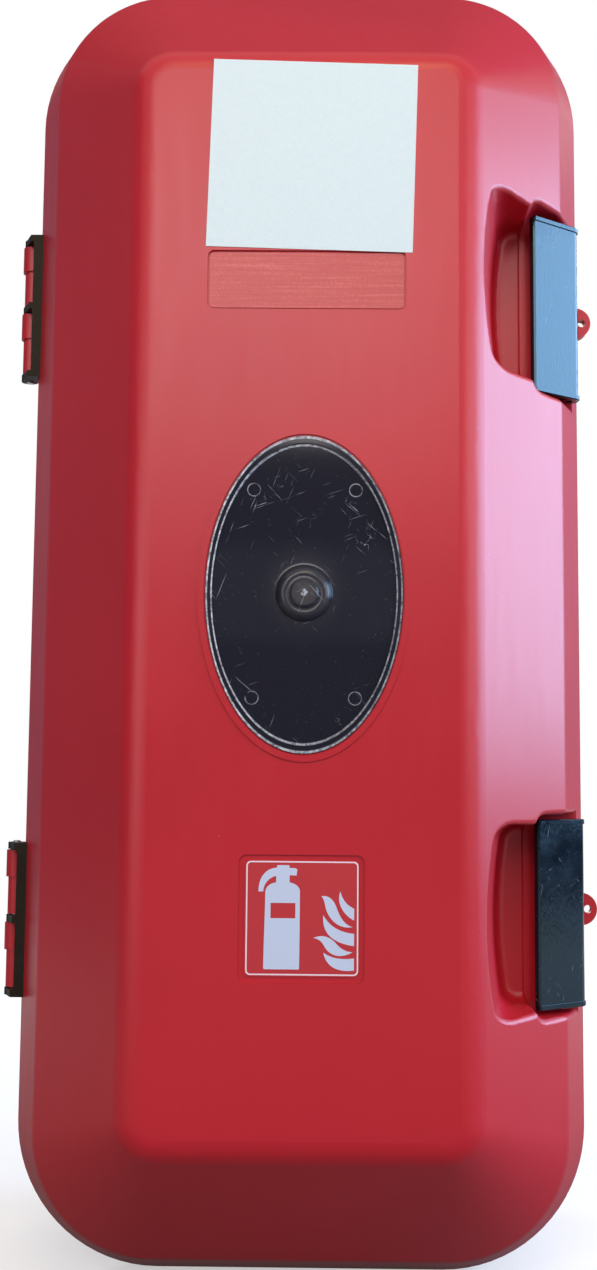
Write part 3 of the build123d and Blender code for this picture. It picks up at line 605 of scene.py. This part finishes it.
def stage_cloth(name, dark, pale):
    """Woven cloth for the panels, which gloss shows as the walls of a plain room."""
    material, tree, place = new_material(name)
    weave = add(tree, "TexNoise", {"Scale": per(2)}, {"Vector": place})
    shade = add(tree, "Mix", {"data_type": "RGBA", COLOUR_A: colour(dark), COLOUR_B: colour(pale)}, {
        FACTOR: weave,
    }, MIXED)
    add(tree, "OutputMaterial", {}, {"Surface": add(tree, "BsdfDiffuse", {}, {"Color": shade})})
    return material


def stage_panel(name, corners, material):
    """A flat four-cornered panel of the stage, in metres."""
    mesh = bpy.data.meshes.new(name)
    shape = bmesh.new()
    shape.faces.new([shape.verts.new(corner) for corner in corners])
    shape.to_mesh(mesh)
    shape.free()
    mesh.materials.append(material)
    panel = bpy.data.objects.new(name, mesh)
    bpy.context.scene.collection.objects.link(panel)
    return panel


def standing(left, right, low, high):
    """Corners of an upright panel over two points of the floor, from one height to another."""
    return [(*left, low), (*right, low), (*right, high), (*left, high)]


def lying(near, far, height):
    """Corners of a level panel between two opposite corners, at one height."""
    return [(x, y, height) for x, y in (near, (far[0], near[1]), far, (near[0], far[1]))]


floor_z = cad_box[0][2] - FLOOR_GAP
floor = lying((-FLOOR_REACH, -FLOOR_REACH), (FLOOR_REACH, FLOOR_REACH), floor_z)
stage_panel("floor", floor, pale_floor("floor_pale"))
grey_cloth = stage_cloth("stage_grey_cloth", "707074", "88888C")
dark_cloth = stage_cloth("stage_dark_cloth", "1E2028", "2A2C34")
pale_cloth = stage_cloth("stage_pale_cloth", "B4B4B8", "C8C8CC")
for name, (cloth, corners) in {
    "room_left": (grey_cloth, standing((-1.3, -0.9), (-1.1, 1.3), floor_z, ROOM_TOP)),
    "room_back": (grey_cloth, standing((-1.1, 1.3), (-0.2, 2.4), floor_z, ROOM_TOP)),
    "room_top": (grey_cloth, lying((-1.2, 0), (1.3, 1.6), CEILING)),
    "room_low": (grey_cloth, standing(*FRONT_WALL, floor_z, 0.2)),
    "room_middle": (pale_cloth, standing(*FRONT_WALL, 0.2, 0.4)),
    "room_high": (grey_cloth, standing(*FRONT_WALL, 0.4, ROOM_TOP)),
    "room_right_low": (dark_cloth, standing((1.9, -1.4), (1.9, 0.9), floor_z, -0.1)),
    "room_right_back": (pale_cloth, standing((2.0, 1.1), (1.1, 2.4), floor_z, ROOM_TOP)),
}.items():
    stage_panel(name, corners, cloth).visible_camera = False

# White where it is looked at or gloss shows it, and a plain grey light on all else
world = bpy.data.worlds.new("studio")
world.use_nodes = True
bpy.context.scene.world = world
world_tree = world.node_tree
world_seen = sight(world_tree)[1]
sky = add(world_tree, "Mix", {"data_type": "RGBA", COLOUR_A: ROOM_GREY, COLOUR_B: WHITE}, {
    FACTOR: world_seen,
}, MIXED)
world_tree.links.new(sky, world_tree.nodes["Background"].inputs["Color"])


def softbox(name, place, target, size, watts, shade):
    """A rectangular lamp that faces a point and stays out of the camera's sight."""
    data = bpy.data.lights.new(name, "AREA")
    data.shape = "RECTANGLE"
    data.size, data.size_y = size
    data.energy = watts
    data.color = colour(shade)[:3]
    lamp = bpy.data.objects.new(name, data)
    lamp.location = place
    lamp.rotation_euler = (Vector(target) - Vector(place)).to_track_quat("-Z", "Y").to_euler()
    lamp.visible_camera = False
    bpy.context.scene.collection.objects.link(lamp)
    return lamp


softbox("window_right", (2.0, 0.0, 0.48), (0.1, -0.1, 0.1), (2.0, 1.1), 70, "ACD2FF")
softbox("room_front", (-0.2, -1.7, 0.7), LID_MIDDLE, (1.1, 0.55), 11, "FFF6F4")
softbox("room_right", (1.25, -1.35, 0.45), LID_MIDDLE, (0.9, 0.9), 8, "F4F4FF")
softbox("ceiling_lamp", (0.1, -1.3, 1.3), LID_MIDDLE, (0.6, 0.3), 4.5, "FFDFA6")
softbox("room_left_front", (-0.9, -1.35, 0.15), (0.0, -0.2, 0.05), (0.6, 0.6), 2.5, "FFE6F0")

# This lamp lights the left side and stays out of its gloss
left_fill = softbox("room_left_behind", (-0.95, 0.95, 0.5), (-0.1, 0.0, 0.0), (0.5, 0.5), 7, "FFFFFF")
left_fill.visible_glossy = False

softbox("room_behind", (0.4, 1.9, 0.8), (0.0, 0.0, 0.0), (1.2, 0.9), 20, "FFFFFF")

# The camera stands at the photograph's angle, a little below the cabinet's middle
camera_data = bpy.data.cameras.new("camera")
camera_data.lens = 39.685
camera_data.sensor_width = 36
camera = bpy.data.objects.new("camera", camera_data)
camera.location = (0.003424, -0.852658, -0.083018)
camera.rotation_euler = Euler([radians(turn) for turn in (95.56957, -0.50893, 0.48225)])
bpy.context.scene.collection.objects.link(camera)
bpy.context.scene.camera = camera

bpy.context.scene.view_settings.view_transform = "Standard"
